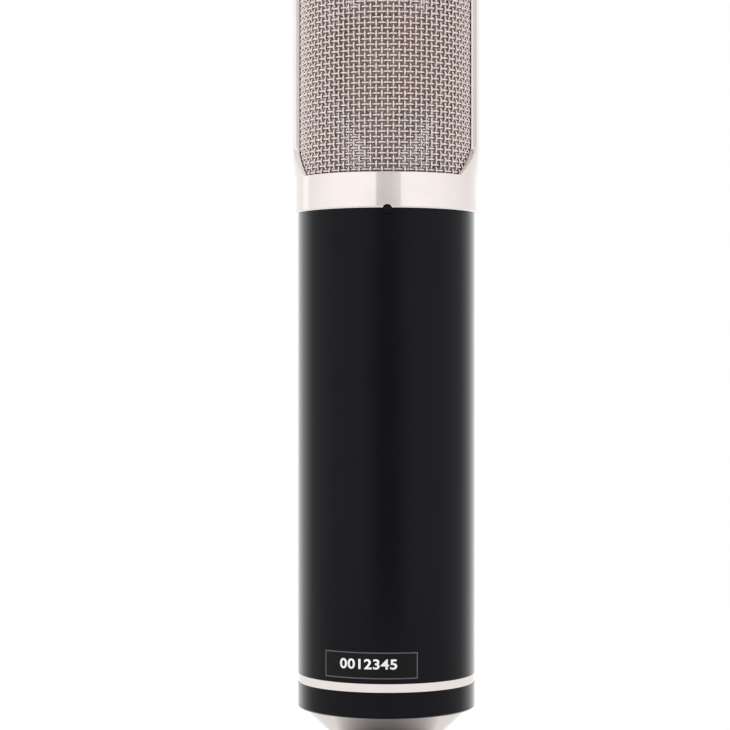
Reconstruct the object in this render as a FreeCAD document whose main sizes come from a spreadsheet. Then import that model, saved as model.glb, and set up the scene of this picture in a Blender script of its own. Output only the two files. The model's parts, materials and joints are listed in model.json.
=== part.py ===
"""Side-address studio microphone: mesh head with a round capsule, slide-off body tube and XLR tail.

Frame: millimetres, +Z up towards the head, origin at the centre of the neck's lower face.
The address side faces +Y. The hoop over the head lies in the XZ plane.
"""
import FreeCAD, Part
import math
import os
import Sketcher

Vector = FreeCAD.Vector
Rotation = FreeCAD.Rotation

SIZES = {
    # outer shell
    "neck_radius": 12.0, "neck_length": 13.6, "bell_height": 24.4, "thread_radius": 23.4,
    "ring_radius": 25.0, "ring_bore": 23.45, "ring_height": 7.15, "ring_foot": 0.35,
    "band_radius": 24.8, "band_height": 2.3,
    "tube_radius": 25.0, "tube_bore": 23.8, "tube_length": 129.65, "edge": 0.15,
    "collar_radius": 25.57, "collar_bore": 20.0, "collar_height": 9.8, "collar_edge": 0.4,
    "recess_radius": 24.7, "recess_depth": 3.0,
    # head
    "head_height": 71.2, "hoop_radius": 26.45, "hoop_thickness": 1.85, "hoop_corner": 19.5,
    "hoop_half_width": 4.6, "foot_half_width": 12.9, "foot_height": 9.2, "foot_slope": 45.0,
    "clearance": 0.05, "mesh_thickness": 1.1, "inner_mesh_gap": 1.3, "inner_mesh_thickness": 0.3,
    # tail connector
    "cavity_radius": 8.2, "cavity_depth": 16.0, "seat_radius": 9.6, "cup_floor": 24.0,
    "cup_radius": 18.0, "spigot_radius": 23.7, "spigot_height": 3.9,
    "insulator_radius": 9.55, "pin_radius": 1.2, "pin_circle": 4.6, "pin_recess": 2.5,
    "pin_length": 24.0, "pin_rounding": 0.72, "retainer_radius": 15.5, "retainer_bore": 8.0,
    "retainer_thickness": 1.2, "retainer_circle": 13.0,
    # chassis
    "plate_radius": 23.3, "plate_thickness": 1.6, "wire_hole": 8.0, "plate_circle": 20.5,
    "rail_offset": 16.0, "rail_thickness": 3.0, "rail_width": 8.0,
    "base_radius": 23.7, "base_flange": 3.5, "base_spigot_radius": 19.9, "base_spigot": 3.5,
    "collar_circle": 21.4, "board_width": 35.0, "board_thickness": 1.6, "board_face": 4.0,
    "board_bottom": 56.0, "board_height": 94.0, "board_hole_inset": 4.0,
    # screws: M2 with cheese heads, and the capsule's small ones
    "screw_hole": 1.0, "shank_radius": 0.9, "head_radius": 1.8, "head_depth": 1.5,
    "clamp_hole": 0.55, "clamp_shank": 0.5, "clamp_head": 0.95, "clamp_head_depth": 0.7,
    "bracket_head": 1.6, "hole_runout": 1.0,
    # how far each kind of screw reaches past its head
    "retainer_screw": 4.0, "plate_screw": 6.0, "rail_screw_low": 7.0, "rail_screw_high": 12.0,
    "collar_screw": 7.0, "board_screw": 5.0, "saddle_screw": 9.0, "clamp_screw": 3.5,
    "bracket_screw": 2.8,
    # lock screw, measured out from the tube's axis
    "lock_screw_radius": 1.25, "lock_screw_hole": 1.35, "lock_screw_angle": 5.3,
    "lock_screw_drop": 0.45, "lock_hole_start": 17.0, "lock_hole_depth": 12.0,
    "lock_screw_root": 18.0, "lock_screw_step": 22.0, "lock_screw_side": 25.1,
    "lock_screw_tip": 25.9,
    # capsule
    "capsule_height": 33.5, "capsule_radius": 17.0, "capsule_ring_bore": 15.7,
    "capsule_half_depth": 4.2, "backplate_radius": 15.6, "backplate_half_depth": 3.0,
    "diaphragm_radius": 13.4, "diaphragm_thickness": 0.1, "clamp_bore": 13.0,
    "clamp_thickness": 1.5, "clamp_circle": 14.3, "terminal_radius": 1.3,
    "terminal_height": 0.4, "stud_radius": 0.7, "stud_root": 1.0,
    "saddle_half_width": 12.0, "saddle_depth": 7.0, "saddle_foot": 3.0, "post_half_width": 4.0,
    "cradle_thickness": 2.4, "cradle_angle": 40.0,
    "isolator_radius": 3.0, "isolator_height": 2.0, "isolator_spacing": 9.0,
    "lead_radius": 0.4, "lead_offset": 7.4, "lead_bend": 1.5, "bush_radius": 1.7,
    "bush_proud": 2.5, "wire_bend": 1.2, "wire_joint": 143.0,
    # wires from the connector, and the parts on the board
    "signal_radius": 0.55, "signal_rise": 3.0, "signal_slant": 6.0,
    "can_radius": 4.0, "can_height": 10.0, "can_rim": 0.4, "can_groove_height": 1.7,
    "can_groove_depth": 0.3, "can_groove_half_width": 0.5,
    "film_half_length": 5.0, "film_half_width": 3.6, "film_thickness": 5.0,
    "resistor_half_length": 3.1, "resistor_radius": 1.2, "resistor_waist": 0.95,
    "resistor_cap": 1.6, "resistor_chamfer": 0.3,
    "transistor_flange": 2.9, "transistor_flange_thickness": 0.5, "transistor_radius": 2.3,
    "transistor_top": 5.3, "transistor_standoff": 0.5, "transistor_chamfer": 0.3,
    # transformer
    "core_width": 28.0, "core_height": 22.0, "core_depth": 8.0, "core_leg": 8.0,
    "core_yoke": 4.0, "coil_depth": 14.0, "transformer_offset": -9.0, "coil_gap": 0.25,
    "bracket_width": 37.0, "bracket_thickness": 1.4, "bracket_screw_offset": 16.3,
    # low-cut switch
    "switch_height": 130.0, "switch_width": 6.0, "switch_length": 12.0, "switch_top": 20.0,
    "switch_seat": 14.5, "slider_width": 2.8, "slider_length": 3.0, "slider_tip": 23.2,
    "slider_root": 17.5, "slider_travel": 3.0, "slot_half_width": 1.7, "slot_half_length": 3.4,
    "slider_gap": 0.1, "channel_wall": 1.0,
    # serial label on the tube
    "label_height": 7.35, "label_bottom": 35.2, "label_span": 61.8, "label_angle": -6.1,
    "label_thickness": 0.12,
}

# heights of the joints between the outer pieces, from the neck up
RING_BOTTOM = "Sizes.bell_height"
BAND_BOTTOM = RING_BOTTOM + " + Sizes.ring_height"
TUBE_BOTTOM = BAND_BOTTOM + " + Sizes.band_height"
TUBE_TOP = TUBE_BOTTOM + " + Sizes.tube_length"
COLLAR_TOP = TUBE_TOP + " + Sizes.collar_height"
HEAD_TOP = COLLAR_TOP + " + Sizes.head_height"
RECESS_FLOOR = COLLAR_TOP + " - Sizes.recess_depth"
SPIGOT_TOP = TUBE_BOTTOM + " + Sizes.spigot_height"
PLATE_TOP = SPIGOT_TOP + " + Sizes.plate_thickness"
BASE_BOTTOM = TUBE_TOP + " - Sizes.base_flange"
BASE_TOP = TUBE_TOP + " + Sizes.base_spigot"
CAPSULE_CENTRE = COLLAR_TOP + " + Sizes.capsule_height"
BOARD_FRONT = "Sizes.board_face + Sizes.board_thickness"
LOCK_HEIGHT = TUBE_TOP + " - Sizes.lock_screw_drop"

# shape of a slotted screw head, as shares of its radius and of its depth
HEAD_DOME = 0.25
SLOT_WIDTH = 0.3
SLOT_DEPTH = 0.5

# columns (x) and rows (z) of the parts on the board, and where the signal wires meet its edge
CAN_COLUMNS, CAN_ROWS = (-8, 8), (68, 80)
FILM_COLUMNS, FILM_ROWS = (-7, 7), (94, 104)
RESISTOR_COLUMNS, RESISTOR_ROWS = (-10, 0, 10), (112, 116, 120)
TRANSISTOR_COLUMNS, TRANSISTOR_ROWS = (-9, 9), (134,)
SIGNAL_COLUMNS = (4, -4, 0)

NEARLY_ZERO = 1e-9

UPRIGHT = Rotation()
UPSIDE_DOWN = Rotation(Vector(1, 0, 0), 180)
ALONG_Y = Rotation(Vector(1, 0, 0), -90)
AGAINST_Y = Rotation(Vector(1, 0, 0), 90)
ALONG_X = Rotation(Vector(0, 1, 0), 90)

document = FreeCAD.newDocument("Microphone")
sheet = document.addObject("Spreadsheet::Sheet", "Sizes")
for row, (alias, size) in enumerate(SIZES.items(), start=1):
    sheet.set(f"A{row}", alias)
    sheet.set(f"B{row}", str(size))
    sheet.setAlias(f"B{row}", alias)
document.recompute()

nodes = []


def value(expression):
    """The number that an expression of the sheet's cells comes to."""
    return float(sheet.evalExpression(str(expression)))


def keep(thing, label):
    """Give a finished sub-part its label and list it for writing."""
    thing.Label = label
    nodes.append(thing)
    return thing


def bind(thing, **expressions):
    for name, expression in expressions.items():
        thing.setExpression(name, str(expression))
    return thing


def place(thing, x=0, y=0, z=0, turn=UPRIGHT):
    """Put a piece at a place worked out from the sheet."""
    thing.Placement = FreeCAD.Placement(Vector(), turn)
    for axis, expression in (("x", x), ("y", y), ("z", z)):
        thing.setExpression(f".Placement.Base.{axis}", str(expression))
    return thing


# ---------------------------------------------------------------- shapes


def origin_plane(body, role):
    return [plane for plane in body.Origin.OriginFeatures if plane.Role == role][0]


def arc_between(first, last, radius, side):
    """The short arc from first to last; side 1 has its centre on the left, -1 on the right."""
    chord = last - first
    reach = math.sqrt(max(radius ** 2 - (chord.Length / 2) ** 2, 0))
    left = Vector(-chord.y, chord.x, 0).normalize()
    centre = (first + last) * 0.5 + left * (reach * side)
    start, end = (first, last) if side > 0 else (last, first)
    angles = [math.atan2(point.y - centre.y, point.x - centre.x) for point in (start, end)]
    circle = Part.Circle(centre, Vector(0, 0, 1), radius)
    return Part.ArcOfCircle(circle, angles[0], angles[1])


def pin_point(sketch, edge, end, x, y):
    """Hold one end of an edge at x, y, which are expressions of the sheet's cells."""
    for kind, axis, expression in (("DistanceX", -2, x), ("DistanceY", -1, y)):
        distance = value(expression)
        if abs(distance) < NEARLY_ZERO:
            sketch.addConstraint(Sketcher.Constraint("PointOnObject", edge, end, axis))
            continue
        if distance > 0:
            rule = Sketcher.Constraint(kind, -1, 1, edge, end, distance)
            bound = str(expression)
        else:
            rule = Sketcher.Constraint(kind, edge, end, -1, 1, -distance)
            bound = f"-({expression})"
        index = sketch.addConstraint(rule)
        sketch.setExpression(f"Constraints[{index}]", bound)


def add_outline(body, plane, corners):
    """A closed sketch through corners (x, y); a corner (x, y, radius, side) starts an arc."""
    sketch = body.newObject("Sketcher::SketchObject", body.Name + "_sketch")
    sketch.AttachmentSupport = [(origin_plane(body, plane), "")]
    sketch.MapMode = "FlatFace"
    places = [Vector(value(corner[0]), value(corner[1]), 0) for corner in corners]
    edges = []
    for index, corner in enumerate(corners):
        first, last = places[index], places[(index + 1) % len(corners)]
        if len(corner) == 2:
            edges.append((sketch.addGeometry(Part.LineSegment(first, last)), 1, 2))
        else:
            arc = arc_between(first, last, value(corner[2]), corner[3])
            ends = (1, 2) if corner[3] > 0 else (2, 1)
            edges.append((sketch.addGeometry(arc),) + ends)
    for index, (edge, _, last_end) in enumerate(edges):
        following, following_end, _ = edges[(index + 1) % len(edges)]
        joined = Sketcher.Constraint("Coincident", edge, last_end, following, following_end)
        sketch.addConstraint(joined)
    for (edge, first_end, _), corner in zip(edges, corners):
        pin_point(sketch, edge, first_end, corner[0], corner[1])
        if len(corner) > 2:
            index = sketch.addConstraint(Sketcher.Constraint("Radius", edge, value(corner[2])))
            sketch.setExpression(f"Constraints[{index}]", str(corner[2]))
    return sketch


def turned(name, corners, angle=360):
    """A piece turned about Z from its half section in the XZ plane (radius, height)."""
    body = document.addObject("PartDesign::Body", name)
    sketch = add_outline(body, "XZ_Plane", corners)
    turn = body.newObject("PartDesign::Revolution", name + "_turn")
    turn.Profile = sketch
    turn.ReferenceAxis = (sketch, ["V_Axis"])
    turn.Midplane = True
    bind(turn, Angle=angle)
    return body


def padded(name, plane, corners, depth):
    """A plate of the given outline, its depth shared equally by the two sides of the plane."""
    body = document.addObject("PartDesign::Body", name)
    sketch = add_outline(body, plane, corners)
    pad = body.newObject("PartDesign::Pad", name + "_pad")
    pad.Profile = sketch
    pad.SideType = "Symmetric"
    bind(pad, Length=depth)
    return body


def washer(name, bore, radius, bottom, top):
    """A flat ring about Z, or a disc when the bore is 0."""
    return turned(name, [(bore, bottom), (radius, bottom), (radius, top), (bore, top)])


def cylinder(name, radius, height, x=0, y=0, z=0, turn=UPRIGHT):
    piece = document.addObject("Part::Cylinder", name)
    bind(piece, Radius=radius, Height=height)
    return place(piece, x, y, z, turn)


def block(name, length, width, height, x=0, y=0, z=0):
    """A box centred on x and y, standing on z."""
    piece = document.addObject("Part::Box", name)
    bind(piece, Length=length, Width=width, Height=height)
    return place(piece, f"{x} - ({length}) / 2", f"{y} - ({width}) / 2", z)


def repeated(name, template, placements):
    """Copies of one template as a group of separate solids."""
    array = document.addObject("App::Link", name + "_array")
    array.LinkedObject = template
    array.ShowElement = False
    array.ElementCount = len(placements)
    array.PlacementList = placements
    group = document.addObject("Part::Compound", name)
    group.Links = [array]
    return group


def cut(name, base, tools):
    """The base with every tool taken away."""
    tool = tools[0]
    if len(tools) > 1:
        tool = document.addObject("Part::MultiFuse", name + "_tools")
        tool.Shapes = tools
    piece = document.addObject("Part::Cut", name)
    piece.Base = base
    piece.Tool = tool
    return piece


def common(name, pieces):
    overlap = document.addObject("Part::MultiCommon", name)
    overlap.Shapes = pieces
    return overlap


def at(x, y, z, turn=UPRIGHT):
    """A placement worked out from the sheet."""
    return FreeCAD.Placement(Vector(value(x), value(y), value(z)), turn)


def on_circle(radius, angles, z, turn=UPRIGHT):
    """Placements on a circle about Z."""
    reach = value(radius)
    spots = []
    for angle in angles:
        turned_by = math.radians(angle)
        spots.append(at(reach * math.cos(turned_by), reach * math.sin(turned_by), z, turn))
    return spots


def drills(name, radius, placements, reach):
    """Round cutters that go reach past the placements both ways along each one's own Z."""
    drill = cylinder(name + "_drill", radius, f"2 * ({reach})")
    centred = Vector(0, 0, -value(reach))
    moved = [spot.multiply(FreeCAD.Placement(centred, Rotation())) for spot in placements]
    return repeated(name, drill, moved)


def screw_holes(name, placements, length):
    """Holes for the screws seated on the placements, a little deeper than the screws."""
    return drills(name, "Sizes.screw_hole", placements, f"{length} + Sizes.hole_runout")


def screws(name, placements, length, shank="Sizes.shank_radius", head="Sizes.head_radius",
           head_depth="Sizes.head_depth"):
    """Slotted screws seated on the placements, heads towards each placement's own +Z."""
    dome = f"({head}) * {HEAD_DOME}"
    solid = turned(name + "_blank", [
        (0, f"-({length})"), (shank, f"-({length})"), (shank, 0), (head, 0),
        (head, f"({head_depth}) - ({dome})"), (f"({head}) - ({dome})", head_depth), (0, head_depth)])
    slot = block(name + "_slot", f"({head}) * 3", f"({head}) * {SLOT_WIDTH}", head_depth,
                 z=f"({head_depth}) * (1 - {SLOT_DEPTH})")
    template = cut(name + "_template", solid, [slot])
    return keep(repeated(name + "_group", template, placements), name)


def bent_wire(name, points, radius, bend):
    """A round wire along straight runs joined by arcs tangent to both."""
    points = [Vector(*point) for point in points]
    edges = []
    start = points[0]
    for before, corner, after in zip(points, points[1:], points[2:]):
        inward = (corner - before).normalize()
        outward = (after - corner).normalize()
        turn = inward.getAngle(outward)
        setback = bend * math.tan(turn / 2)
        first = corner - inward * setback
        last = corner + outward * setback
        towards = (outward - inward).normalize()
        middle = corner + towards * (bend / math.cos(turn / 2) - bend)
        edges.append(Part.LineSegment(start, first).toShape())
        edges.append(Part.Arc(first, middle, last).toShape())
        start = last
    edges.append(Part.LineSegment(start, points[-1]).toShape())
    path = Part.Wire(edges)
    section = Part.Wire(Part.makeCircle(radius, points[0], points[1] - points[0]))
    shape = path.makePipeShell([section], True, True)
    wire = document.addObject("Part::Feature", name)
    wire.Shape = shape
    return wire


# ---------------------------------------------------------------- shared places

PIN_ANGLES = (38, 142, 270)
RETAINER_ANGLES = (90, 210, 330)
PLATE_ANGLES = (60, 120, 240, 300)
COLLAR_ANGLES = (45, 135, 225, 315)
CLAMP_COUNT = 12
SIDES = {"front": 1, "rear": -1}

pin_spots = on_circle("Sizes.pin_circle", PIN_ANGLES, "Sizes.pin_recess")
retainer_spots = on_circle("Sizes.retainer_circle", RETAINER_ANGLES,
                           "Sizes.cup_floor + Sizes.retainer_thickness")
plate_spots = on_circle("Sizes.plate_circle", PLATE_ANGLES, PLATE_TOP)
collar_spots = on_circle("Sizes.collar_circle", COLLAR_ANGLES, BASE_BOTTOM, UPSIDE_DOWN)
rail_low_spots = [at(f"{side} * Sizes.rail_offset", 0, SPIGOT_TOP, UPSIDE_DOWN) for side in (-1, 1)]
rail_high_spots = [at(f"{side} * Sizes.rail_offset", 0, BASE_TOP) for side in (-1, 1)]
board_hole_heights = ("Sizes.board_bottom + Sizes.board_hole_inset",
                      "Sizes.board_bottom + Sizes.board_height - Sizes.board_hole_inset")
board_spots = [at(f"{side} * Sizes.rail_offset", BOARD_FRONT, height, ALONG_Y)
               for side in (-1, 1) for height in board_hole_heights]
foot_spots = [at(f"{side} * Sizes.isolator_spacing", 0,
                 BASE_TOP + " + Sizes.isolator_height + Sizes.saddle_foot") for side in (-1, 1)]
bracket_spots = [at(f"{side} * Sizes.bracket_screw_offset", "Sizes.transformer_offset",
                    PLATE_TOP + " + Sizes.bracket_thickness") for side in (-1, 1)]
clamp_angles = [360 / CLAMP_COUNT * (index + 0.5) for index in range(CLAMP_COUNT)]

lock_turn = Rotation(Vector(0, 0, 1), value("Sizes.lock_screw_angle") - 90).multiply(ALONG_X)
lock_out = lock_turn.multVec(Vector(0, 0, 1))
lock_hole = cylinder("lock_hole", "Sizes.lock_screw_hole", "Sizes.lock_hole_depth",
                     f"{lock_out.x} * Sizes.lock_hole_start",
                     f"{lock_out.y} * Sizes.lock_hole_start", LOCK_HEIGHT, lock_turn)

# ---------------------------------------------------------------- tail


def end_bell():
    """Turned tail: neck, cone, ring thread, tube spigot, connector bore and wiring cup."""
    blank = turned("bell_blank", [
        ("Sizes.cavity_radius", 0),
        ("Sizes.neck_radius - Sizes.collar_edge", 0),
        ("Sizes.neck_radius", "Sizes.collar_edge"),
        ("Sizes.neck_radius", "Sizes.neck_length"),
        ("Sizes.thread_radius", RING_BOTTOM),
        ("Sizes.thread_radius", TUBE_BOTTOM + " + Sizes.edge"),
        ("Sizes.spigot_radius", TUBE_BOTTOM + " + Sizes.edge"),
        ("Sizes.spigot_radius", SPIGOT_TOP + " - Sizes.collar_edge"),
        ("Sizes.spigot_radius - Sizes.collar_edge", SPIGOT_TOP),
        ("Sizes.cup_radius", SPIGOT_TOP),
        ("Sizes.cup_radius", "Sizes.cup_floor"),
        ("Sizes.seat_radius", "Sizes.cup_floor"),
        ("Sizes.seat_radius", "Sizes.cavity_depth"),
        ("Sizes.cavity_radius", "Sizes.cavity_depth")])
    holes = [screw_holes("bell_retainer_holes", retainer_spots, "Sizes.retainer_screw"),
             screw_holes("bell_plate_holes", plate_spots, "Sizes.plate_screw")]
    keep(cut("bell_cut", blank, holes), "end_bell")


def connector():
    """Three-pin male connector: insulator, pins and the ring that holds it in the bell."""
    disc = washer("insulator_disc", 0, "Sizes.insulator_radius", "Sizes.cavity_depth",
                  "Sizes.cup_floor")
    holes = drills("insulator_holes", "Sizes.pin_radius + Sizes.clearance", pin_spots,
                   "Sizes.pin_length")
    keep(cut("insulator_cut", disc, [holes]), "xlr_insulator")
    tip = "Sizes.pin_rounding"
    pin = turned("pin_blank", [
        (0, 0), ("Sizes.pin_radius - " + tip, 0, tip, 1), ("Sizes.pin_radius", tip),
        ("Sizes.pin_radius", "Sizes.pin_length"), (0, "Sizes.pin_length")])
    keep(repeated("pin_group", pin, pin_spots), "xlr_pins")
    ring = washer("retainer_blank", "Sizes.retainer_bore", "Sizes.retainer_radius",
                  "Sizes.cup_floor", "Sizes.cup_floor + Sizes.retainer_thickness")
    ring_holes = screw_holes("retainer_holes", retainer_spots, "Sizes.retainer_screw")
    keep(cut("retainer_cut", ring, [ring_holes]), "xlr_retainer_ring")
    screws("retainer_screws", retainer_spots, "Sizes.retainer_screw")


def ring_and_band():
    """Black lock ring and the bright band between it and the tube."""
    keep(turned("ring_turned", [
        ("Sizes.ring_bore", RING_BOTTOM),
        ("Sizes.ring_radius - Sizes.ring_foot", RING_BOTTOM),
        ("Sizes.ring_radius", RING_BOTTOM + " + Sizes.ring_foot"),
        ("Sizes.ring_radius", BAND_BOTTOM + " - Sizes.edge"),
        ("Sizes.ring_radius - Sizes.edge", BAND_BOTTOM),
        ("Sizes.ring_bore", BAND_BOTTOM)]), "lock_ring")
    keep(washer("band_turned", "Sizes.ring_bore", "Sizes.band_radius", BAND_BOTTOM, TUBE_BOTTOM),
         "silver_band")


# ---------------------------------------------------------------- sleeve


def body_tube():
    """Body tube, with a notch round the lock screw and a slot over the switch."""
    blank = turned("tube_blank", [
        ("Sizes.tube_bore", TUBE_BOTTOM),
        ("Sizes.tube_radius - Sizes.edge", TUBE_BOTTOM),
        ("Sizes.tube_radius", TUBE_BOTTOM + " + Sizes.edge"),
        ("Sizes.tube_radius", TUBE_TOP + " - Sizes.edge"),
        ("Sizes.tube_radius - Sizes.edge", TUBE_TOP),
        ("Sizes.tube_bore", TUBE_TOP)])
    straight = "(Sizes.slot_half_length - Sizes.slot_half_width)"
    slot = [block("slot_middle", "2 * Sizes.slot_half_width", "Sizes.tube_radius",
                  f"2 * {straight}", y="Sizes.tube_radius", z=f"Sizes.switch_height - {straight}")]
    slot += [cylinder(f"slot_{end}", "Sizes.slot_half_width", "Sizes.tube_radius",
                      y="Sizes.tube_radius / 2", z=f"Sizes.switch_height + {side} * {straight}",
                      turn=ALONG_Y) for end, side in (("lower", -1), ("upper", 1))]
    keep(cut("tube_cut", blank, slot + [lock_hole]), "body_tube")


def serial_label():
    label = turned("label_wrap", [
        ("Sizes.tube_radius", "Sizes.label_bottom"),
        ("Sizes.tube_radius + Sizes.label_thickness", "Sizes.label_bottom"),
        ("Sizes.tube_radius + Sizes.label_thickness", "Sizes.label_bottom + Sizes.label_height"),
        ("Sizes.tube_radius", "Sizes.label_bottom + Sizes.label_height")], "Sizes.label_span")
    label.Placement.Rotation = Rotation(Vector(0, 0, 1), value("Sizes.label_angle") - 90)
    keep(label, "serial_label")


# ---------------------------------------------------------------- chassis


def lower_plate():
    disc = washer("plate_disc", "Sizes.wire_hole", "Sizes.plate_radius", SPIGOT_TOP, PLATE_TOP)
    holes = [screw_holes("plate_edge_holes", plate_spots, "Sizes.plate_screw"),
             screw_holes("plate_rail_holes", rail_low_spots, "Sizes.rail_screw_low"),
             screw_holes("plate_bracket_holes", bracket_spots, "Sizes.bracket_screw")]
    keep(cut("plate_cut", disc, holes), "lower_plate")
    screws("lower_plate_screws", plate_spots, "Sizes.plate_screw")


def rails():
    """Two bars that carry the head on the tail."""
    for name, side in (("left", -1), ("right", 1)):
        bar = block(f"bar_{name}", "Sizes.rail_thickness", "Sizes.rail_width",
                    f"{BASE_BOTTOM} - ({PLATE_TOP})", x=f"{side} * Sizes.rail_offset", z=PLATE_TOP)
        holes = [screw_holes(f"bar_{name}_ends", rail_low_spots, "Sizes.rail_screw_low"),
                 screw_holes(f"bar_{name}_tops", rail_high_spots, "Sizes.rail_screw_high"),
                 screw_holes(f"bar_{name}_board", board_spots, "Sizes.board_screw")]
        keep(cut(f"rail_{name}_cut", bar, holes), f"rail_{name}")
    screws("rail_screws_low", rail_low_spots, "Sizes.rail_screw_low")
    screws("rail_screws_high", rail_high_spots, "Sizes.rail_screw_high")


def head_base_plate():
    """Flanged disc that closes the tube, carries the collar and insulates the capsule leads."""
    disc = turned("base_disc", [
        (0, BASE_BOTTOM), ("Sizes.base_radius", BASE_BOTTOM), ("Sizes.base_radius", TUBE_TOP),
        ("Sizes.base_spigot_radius", TUBE_TOP), ("Sizes.base_spigot_radius", BASE_TOP),
        (0, BASE_TOP)])
    lead_spots = [at(0, f"{side} * Sizes.lead_offset", BASE_TOP) for side in SIDES.values()]
    holes = [screw_holes("base_rail_holes", rail_high_spots, "Sizes.rail_screw_high"),
             screw_holes("base_collar_holes", collar_spots, "Sizes.collar_screw"),
             screw_holes("base_foot_holes", foot_spots, "Sizes.saddle_screw"),
             drills("base_lead_holes", "Sizes.bush_radius + Sizes.clearance", lead_spots,
                    "2 * (Sizes.base_flange + Sizes.base_spigot)"),
             lock_hole]
    keep(cut("base_cut", disc, holes), "head_base_plate")
    bush_length = f"{BASE_TOP} + Sizes.bush_proud - ({BASE_BOTTOM})"
    bush = cylinder("bush", "Sizes.bush_radius", bush_length)
    bush_spots = [at(0, f"{side} * Sizes.lead_offset", BASE_BOTTOM) for side in SIDES.values()]
    keep(repeated("bush_group", bush, bush_spots), "feedthrough_bushes")
    screws("collar_screws", collar_spots, "Sizes.collar_screw")


def lock_screw():
    """Domed grub screw in the joint line between the collar and the tube."""
    head = "Sizes.lock_screw_radius"
    rise = "(Sizes.lock_screw_tip - Sizes.lock_screw_side)"
    blank = turned("lock_blank", [
        (0, "Sizes.lock_screw_root"), ("Sizes.shank_radius", "Sizes.lock_screw_root"),
        ("Sizes.shank_radius", "Sizes.lock_screw_step"), (head, "Sizes.lock_screw_step"),
        (head, "Sizes.lock_screw_side", f"({head}^2 + {rise}^2) / (2 * {rise})", 1),
        (0, "Sizes.lock_screw_tip")])
    place(blank, z=LOCK_HEIGHT, turn=lock_turn)
    keep(blank, "joint_lock_screw")


# ---------------------------------------------------------------- head shell


def collar():
    """Bright ring between the tube and the mesh."""
    blank = turned("collar_blank", [
        ("Sizes.collar_bore", TUBE_TOP),
        ("Sizes.collar_radius - Sizes.collar_edge", TUBE_TOP),
        ("Sizes.collar_radius", TUBE_TOP + " + Sizes.collar_edge"),
        ("Sizes.collar_radius", COLLAR_TOP + " - Sizes.edge"),
        ("Sizes.collar_radius - Sizes.edge", COLLAR_TOP),
        ("Sizes.recess_radius", COLLAR_TOP),
        ("Sizes.recess_radius", RECESS_FLOOR),
        ("Sizes.collar_bore", RECESS_FLOOR)])
    holes = screw_holes("collar_holes", collar_spots, "Sizes.collar_screw")
    keep(cut("collar_cut", blank, [holes, lock_hole]), "collar")


def arch_outline(inset):
    """Upright outline of the hoop, rounded at both shoulders, inset from its outside."""
    side = f"Sizes.hoop_radius - ({inset})"
    corner = f"Sizes.hoop_corner - ({inset})"
    crown = f"{HEAD_TOP} - ({inset})"
    shoulder = f"{HEAD_TOP} - Sizes.hoop_corner"
    flat = "Sizes.hoop_radius - Sizes.hoop_corner"
    return [(f"-({side})", COLLAR_TOP), (side, COLLAR_TOP), (side, shoulder, corner, 1),
            (flat, crown), (f"-({flat})", crown, corner, 1), (f"-({side})", shoulder)]


def hoop_frame():
    """Arch over the head: a bent strip that follows the round head and widens at its feet."""
    step = "(Sizes.hoop_radius - Sizes.collar_radius)"
    foot_bend = f"({step}^2 + Sizes.foot_height^2) / (2 * {step})"
    foot_top = COLLAR_TOP + " + Sizes.foot_height"
    envelope = turned("hoop_envelope", [
        (0, COLLAR_TOP), ("Sizes.collar_radius", COLLAR_TOP, foot_bend, 1),
        ("Sizes.hoop_radius", foot_top), ("Sizes.hoop_radius", HEAD_TOP), (0, HEAD_TOP)])
    depth = "Sizes.hoop_radius * 2"
    outside = padded("hoop_outside", "XZ_Plane", arch_outline("0"), depth)
    inside = padded("hoop_inside", "XZ_Plane", arch_outline("Sizes.hoop_thickness"), depth)
    bore = cylinder("hoop_bore", "Sizes.hoop_radius - Sizes.hoop_thickness", "Sizes.head_height",
                    z=COLLAR_TOP)
    flare = "(Sizes.foot_half_width - Sizes.hoop_half_width)"
    slope_cosine = "cos(Sizes.foot_slope * 1deg)"
    slope_sine = "sin(Sizes.foot_slope * 1deg)"
    flare_bend = (f"(Sizes.foot_height * {slope_sine} - {flare} * {slope_cosine})"
                  f" / (1 - {slope_cosine})")
    bend_end = f"Sizes.hoop_half_width + {flare_bend} * (1 - {slope_cosine})"
    bend_start = f"{foot_top} - {flare_bend} * {slope_sine}"
    width = padded("hoop_width", "YZ_Plane", [
        ("-Sizes.foot_half_width", COLLAR_TOP), ("Sizes.foot_half_width", COLLAR_TOP),
        (bend_end, bend_start, flare_bend, -1),
        ("Sizes.hoop_half_width", foot_top), ("Sizes.hoop_half_width", HEAD_TOP),
        ("-Sizes.hoop_half_width", HEAD_TOP),
        ("-Sizes.hoop_half_width", foot_top, flare_bend, -1),
        (f"-({bend_end})", bend_start)], depth)
    strip = common("hoop_strip", [envelope, outside, width])
    window = common("hoop_window", [inside, bore])
    keep(cut("hoop_cut", strip, [window]), "hoop_frame")


def half_shell(name, side, inset, thickness):
    """Half of a shell of revolution that fits under the hoop."""
    outer = f"({inset})"
    inner = f"({inset} + {thickness})"
    flat = "Sizes.hoop_radius - Sizes.hoop_corner"
    shoulder = f"{HEAD_TOP} - Sizes.hoop_corner"
    shell = turned(name + "_shell", [
        (f"Sizes.hoop_radius - {inner}", RECESS_FLOOR),
        (f"Sizes.hoop_radius - {outer}", RECESS_FLOOR),
        (f"Sizes.hoop_radius - {outer}", shoulder, f"Sizes.hoop_corner - {outer}", 1),
        (flat, f"{HEAD_TOP} - {outer}"), (0, f"{HEAD_TOP} - {outer}"),
        (0, f"{HEAD_TOP} - {inner}"),
        (flat, f"{HEAD_TOP} - {inner}", f"Sizes.hoop_corner - {inner}", -1),
        (f"Sizes.hoop_radius - {inner}", shoulder)], 180)
    shell.Placement.Rotation = Rotation(Vector(0, 0, 1), 90 * side)
    keep(shell, name)


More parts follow.
